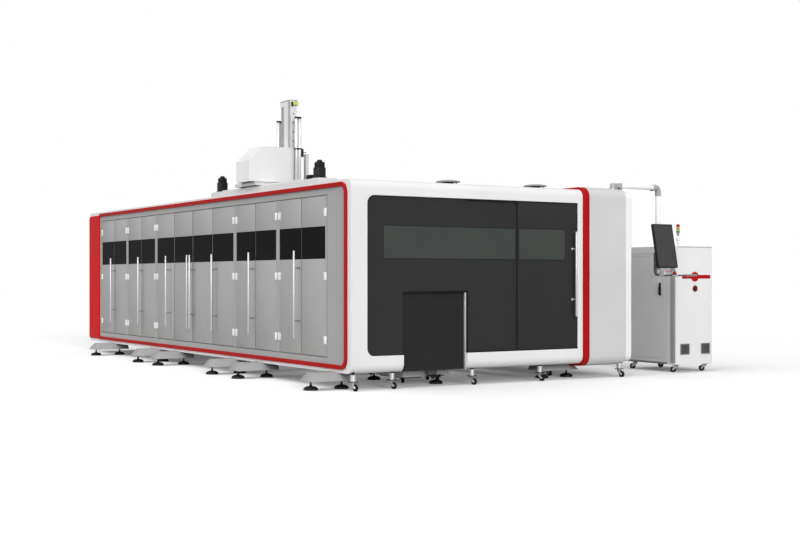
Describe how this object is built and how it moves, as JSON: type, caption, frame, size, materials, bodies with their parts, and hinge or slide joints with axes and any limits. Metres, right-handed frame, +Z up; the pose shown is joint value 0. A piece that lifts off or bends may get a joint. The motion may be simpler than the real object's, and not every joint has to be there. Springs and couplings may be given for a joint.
{
  "type": "enclosed fiber laser cutting machine",
  "caption": "Large enclosed fiber laser cutter: long white housing with folding side doors, roof gantry and cutting head, swing-arm operator console and a free-standing electrical cabinet.",
  "frame": {"origin": "centre of the floor area that the machine takes up, at floor level", "axes": "+X to the right as seen from the operator's front, +Y from the front to the back along the housing, +Z up"},
  "size_m": [5.787, 9.054, 3.56],
  "materials": {
    "white_paint": "satin powder coat",
    "red_paint": "satin powder coat",
    "grey_paint": "satin powder coat",
    "pale_grey_paint": "satin powder coat",
    "dark_paint": "matt powder coat",
    "dark_glass": "dark laser-safe pane",
    "bed_paint": "light grey enamel",
    "black_metal": "black enamel",
    "steel": "ground steel",
    "chrome": "polished",
    "alloy": "anodised",
    "caster_black": "black tread",
    "foot_black": "black pad on a steel screw",
    "screen_plastic": "dark casing with a grey screen",
    "red_plastic": "red moulding",
    "black_plastic": "black moulding",
    "lens_plastic": "coloured lenses on a pale pole",
    "vent_white": "powder coat"
  },
  "bodies": {
    "housing": {"front_fascia": "white_paint", "roof_panel": "white_paint", "floor_frame": "white_paint", "back_and_right_walls": "white_paint", "side_frame": "white_paint", "left_trim": "red_paint", "end_strip": "red_paint", "right_band": "red_paint", "side_sleeve": "pale_grey_paint", "end_cap": "white_paint", "front_panel": "dark_paint", "front_window": "dark_glass", "door_track": "dark_paint", "outlet_guides": "alloy", "side_hinges": "white_paint", "bed_frame": "bed_paint", "levelling_feet": "foot_black", "work_table": "steel", "rail_bridges": "bed_paint", "linear_rails": "steel", "roof_vents": "vent_white", "housing_casters": "caster_black", "monitor_bracket": "pale_grey_paint", "cabinet_body": "white_paint", "cabinet_cover": "white_paint", "cabinet_strip": "red_paint", "cabinet_grilles": "pale_grey_paint", "cabinet_casters": "caster_black", "signal_tower": "lens_plastic"},
    "sliding_door": {"sliding_door": "dark_paint", "sliding_window": "dark_glass"},
    "outlet_door": {"outlet_door": "dark_paint"},
    "side_door_1": {"side_door_1": "grey_paint"},
    "side_door_2": {"side_door_2": "grey_paint"},
    "side_door_3": {"side_door_3": "grey_paint"},
    "side_door_4": {"side_door_4": "grey_paint"},
    "side_door_5": {"side_door_5": "grey_paint"},
    "side_door_6": {"side_door_6": "grey_paint"},
    "side_door_7": {"side_door_7": "grey_paint"},
    "side_door_8": {"side_door_8": "grey_paint"},
    "side_door_9": {"side_door_9": "grey_paint"},
    "side_door_10": {"side_door_10": "grey_paint"},
    "side_door_11": {"side_door_11": "grey_paint"},
    "side_door_12": {"side_door_12": "grey_paint"},
    "gantry": {"gantry_beam": "pale_grey_paint", "gantry_motors": "black_metal"},
    "carriage": {"carriage": "pale_grey_paint", "carriage_hood": "white_paint", "balance_cylinders": "chrome"},
    "z_ram": {"z_ram": "alloy"},
    "head_swivel": {"head_swivel": "alloy"},
    "cutting_head": {"cutting_head": "alloy"},
    "monitor_arm": {"monitor_arm": "vent_white"},
    "console_column": {"console_column": "alloy"},
    "monitor": {"monitor": "screen_plastic"},
    "keyboard_tray": {"keyboard_tray": "alloy"},
    "stop_button": {"stop_button": "red_plastic"},
    "cabinet_door": {"cabinet_door": "white_paint"},
    "cabinet_latch": {"cabinet_latch": "black_plastic"},
    "main_switch": {"main_switch": "red_plastic"}
  },
  "joints": [
    {"name": "sliding_door_travel", "type": "slide", "parent": "housing", "child": "sliding_door", "axis": [-1, 0, 0], "range_m": [0, 0.69]},
    {"name": "outlet_door_lift", "type": "slide", "parent": "housing", "child": "outlet_door", "axis": [0, 0, 1], "range_m": [0, 0.85]},
    {"name": "side_door_1_hinge", "type": "hinge", "parent": "housing", "child": "side_door_1", "pos_m": [-2.5425, -3.533, 1.2], "axis": [0, 0, 1], "range_deg": [0, 80]},
    {"name": "side_door_2_hinge", "type": "hinge", "parent": "housing", "child": "side_door_2", "pos_m": [-2.5425, -2.413, 1.2], "axis": [0, 0, 1], "range_deg": [-80, 0]},
    {"name": "side_door_3_hinge", "type": "hinge", "parent": "housing", "child": "side_door_3", "pos_m": [-2.5425, -2.326, 1.2], "axis": [0, 0, 1], "range_deg": [0, 80]},
    {"name": "side_door_4_hinge", "type": "hinge", "parent": "housing", "child": "side_door_4", "pos_m": [-2.5425, -1.206, 1.2], "axis": [0, 0, 1], "range_deg": [-80, 0]},
    {"name": "side_door_5_hinge", "type": "hinge", "parent": "housing", "child": "side_door_5", "pos_m": [-2.5425, -1.119, 1.2], "axis": [0, 0, 1], "range_deg": [0, 80]},
    {"name": "side_door_6_fold", "type": "hinge", "parent": "side_door_5", "child": "side_door_6", "pos_m": [-2.4955, -0.461, 1.2], "axis": [0, 0, 1], "range_deg": [-160, 0]},
    {"name": "side_door_7_fold", "type": "hinge", "parent": "side_door_8", "child": "side_door_7", "pos_m": [-2.4955, 0.855, 1.2], "axis": [0, 0, 1], "range_deg": [0, 160]},
    {"name": "side_door_8_hinge", "type": "hinge", "parent": "housing", "child": "side_door_8", "pos_m": [-2.5425, 1.513, 1.2], "axis": [0, 0, 1], "range_deg": [-80, 0]},
    {"name": "side_door_9_hinge", "type": "hinge", "parent": "housing", "child": "side_door_9", "pos_m": [-2.5425, 1.6, 1.2], "axis": [0, 0, 1], "range_deg": [0, 80]},
    {"name": "side_door_10_hinge", "type": "hinge", "parent": "housing", "child": "side_door_10", "pos_m": [-2.5425, 2.72, 1.2], "axis": [0, 0, 1], "range_deg": [-80, 0]},
    {"name": "side_door_11_hinge", "type": "hinge", "parent": "housing", "child": "side_door_11", "pos_m": [-2.5425, 2.807, 1.2], "axis": [0, 0, 1], "range_deg": [0, 80]},
    {"name": "side_door_12_hinge", "type": "hinge", "parent": "housing", "child": "side_door_12", "pos_m": [-2.5425, 3.927, 1.2], "axis": [0, 0, 1], "range_deg": [-80, 0]},
    {"name": "gantry_travel", "type": "slide", "parent": "housing", "child": "gantry", "axis": [1, 0, 0], "range_m": [-0.12, 1.78]},
    {"name": "carriage_travel", "type": "slide", "parent": "gantry", "child": "carriage", "axis": [0, 1, 0], "range_m": [-1.1, 0.62]},
    {"name": "ram_stroke", "type": "slide", "parent": "carriage", "child": "z_ram", "axis": [0, 0, -1], "range_m": [0, 0.6]},
    {"name": "head_turn", "type": "hinge", "parent": "z_ram", "child": "head_swivel", "pos_m": [-1.491, -0.578, 1.84], "axis": [0, 0, 1], "range_deg": [-180, 180]},
    {"name": "head_tilt", "type": "hinge", "parent": "head_swivel", "child": "cutting_head", "pos_m": [-1.4465, -0.578, 1.68], "axis": [1, 0, 0], "range_deg": [-90, 90]},
    {"name": "console_arm_swing", "type": "hinge", "parent": "housing", "child": "monitor_arm", "pos_m": [1.1535, -4.033, 2.31], "axis": [0, 0, 1], "range_deg": [-90, 10]},
    {"name": "console_turn", "type": "hinge", "parent": "monitor_arm", "child": "console_column", "pos_m": [1.8885, -4.033, 2.24], "axis": [0, 0, 1], "range_deg": [-45, 20]},
    {"name": "monitor_tilt", "type": "hinge", "parent": "console_column", "child": "monitor", "pos_m": [1.8885, -4.091, 1.6], "axis": [1, 0, 0], "range_deg": [0, 15]},
    {"name": "keyboard_tray_fold", "type": "hinge", "parent": "console_column", "child": "keyboard_tray", "pos_m": [1.9015, -4.253, 1.227], "axis": [1, 0, 0], "range_deg": [0, 90]},
    {"name": "stop_button_press", "type": "slide", "parent": "console_column", "child": "stop_button", "axis": [0, 1, 0], "range_m": [0, 0.005], "stiffness_N_per_m": 600},
    {"name": "cabinet_door_hinge", "type": "hinge", "parent": "housing", "child": "cabinet_door", "pos_m": [2.2275, -3.033, 0.825], "axis": [0, 0, 1], "range_deg": [-100, 0]},
    {"name": "cabinet_latch_turn", "type": "hinge", "parent": "cabinet_door", "child": "cabinet_latch", "pos_m": [2.2235, -3.708, 1.117], "axis": [1, 0, 0], "range_deg": [0, 90]},
    {"name": "main_switch_turn", "type": "hinge", "parent": "housing", "child": "main_switch", "pos_m": [2.5615, -4.016, 1.063], "axis": [0, 1, 0], "range_deg": [0, 90]}
  ],
  "couplings": [
    {"joint": "side_door_6_fold", "follows": "side_door_5_hinge", "ratio": -2},
    {"joint": "side_door_7_fold", "follows": "side_door_8_hinge", "ratio": -2}
  ]
}
